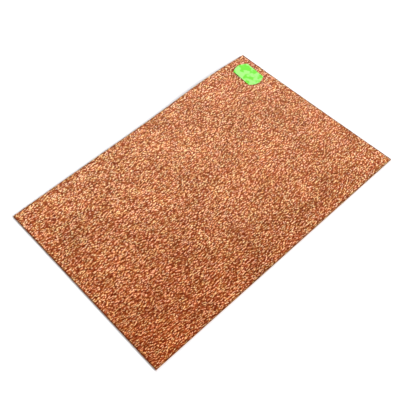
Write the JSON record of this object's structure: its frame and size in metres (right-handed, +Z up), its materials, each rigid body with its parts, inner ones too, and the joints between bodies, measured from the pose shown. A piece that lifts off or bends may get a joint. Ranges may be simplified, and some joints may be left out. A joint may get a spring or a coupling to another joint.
{
  "type": "sandpaper sheet",
  "caption": "Flat rectangular sheet of coarse coated abrasive, red-brown grain on a paper backing, with a blank green price label near one corner.",
  "frame": {"origin": "middle of the underside of the sheet, on the surface it lies on", "axes": "+X along the long side, towards the end with the price label; +Y along the short side, towards the corner with the label; +Z up out of the abrasive face"},
  "size_m": [0.24, 0.16, 0.0018],
  "materials": {
    "backing_paper": "matte",
    "make_coat": "satin",
    "abrasive_grain": "satin",
    "size_coat": "satin",
    "label_adhesive": "satin",
    "price_label": "satin"
  },
  "bodies": {
    "root": {"backing_paper": "backing_paper", "make_coat": "make_coat", "abrasive_grain": "abrasive_grain", "size_coat": "size_coat", "label_adhesive": "label_adhesive", "price_label": "price_label"}
  },
  "joints": []
}
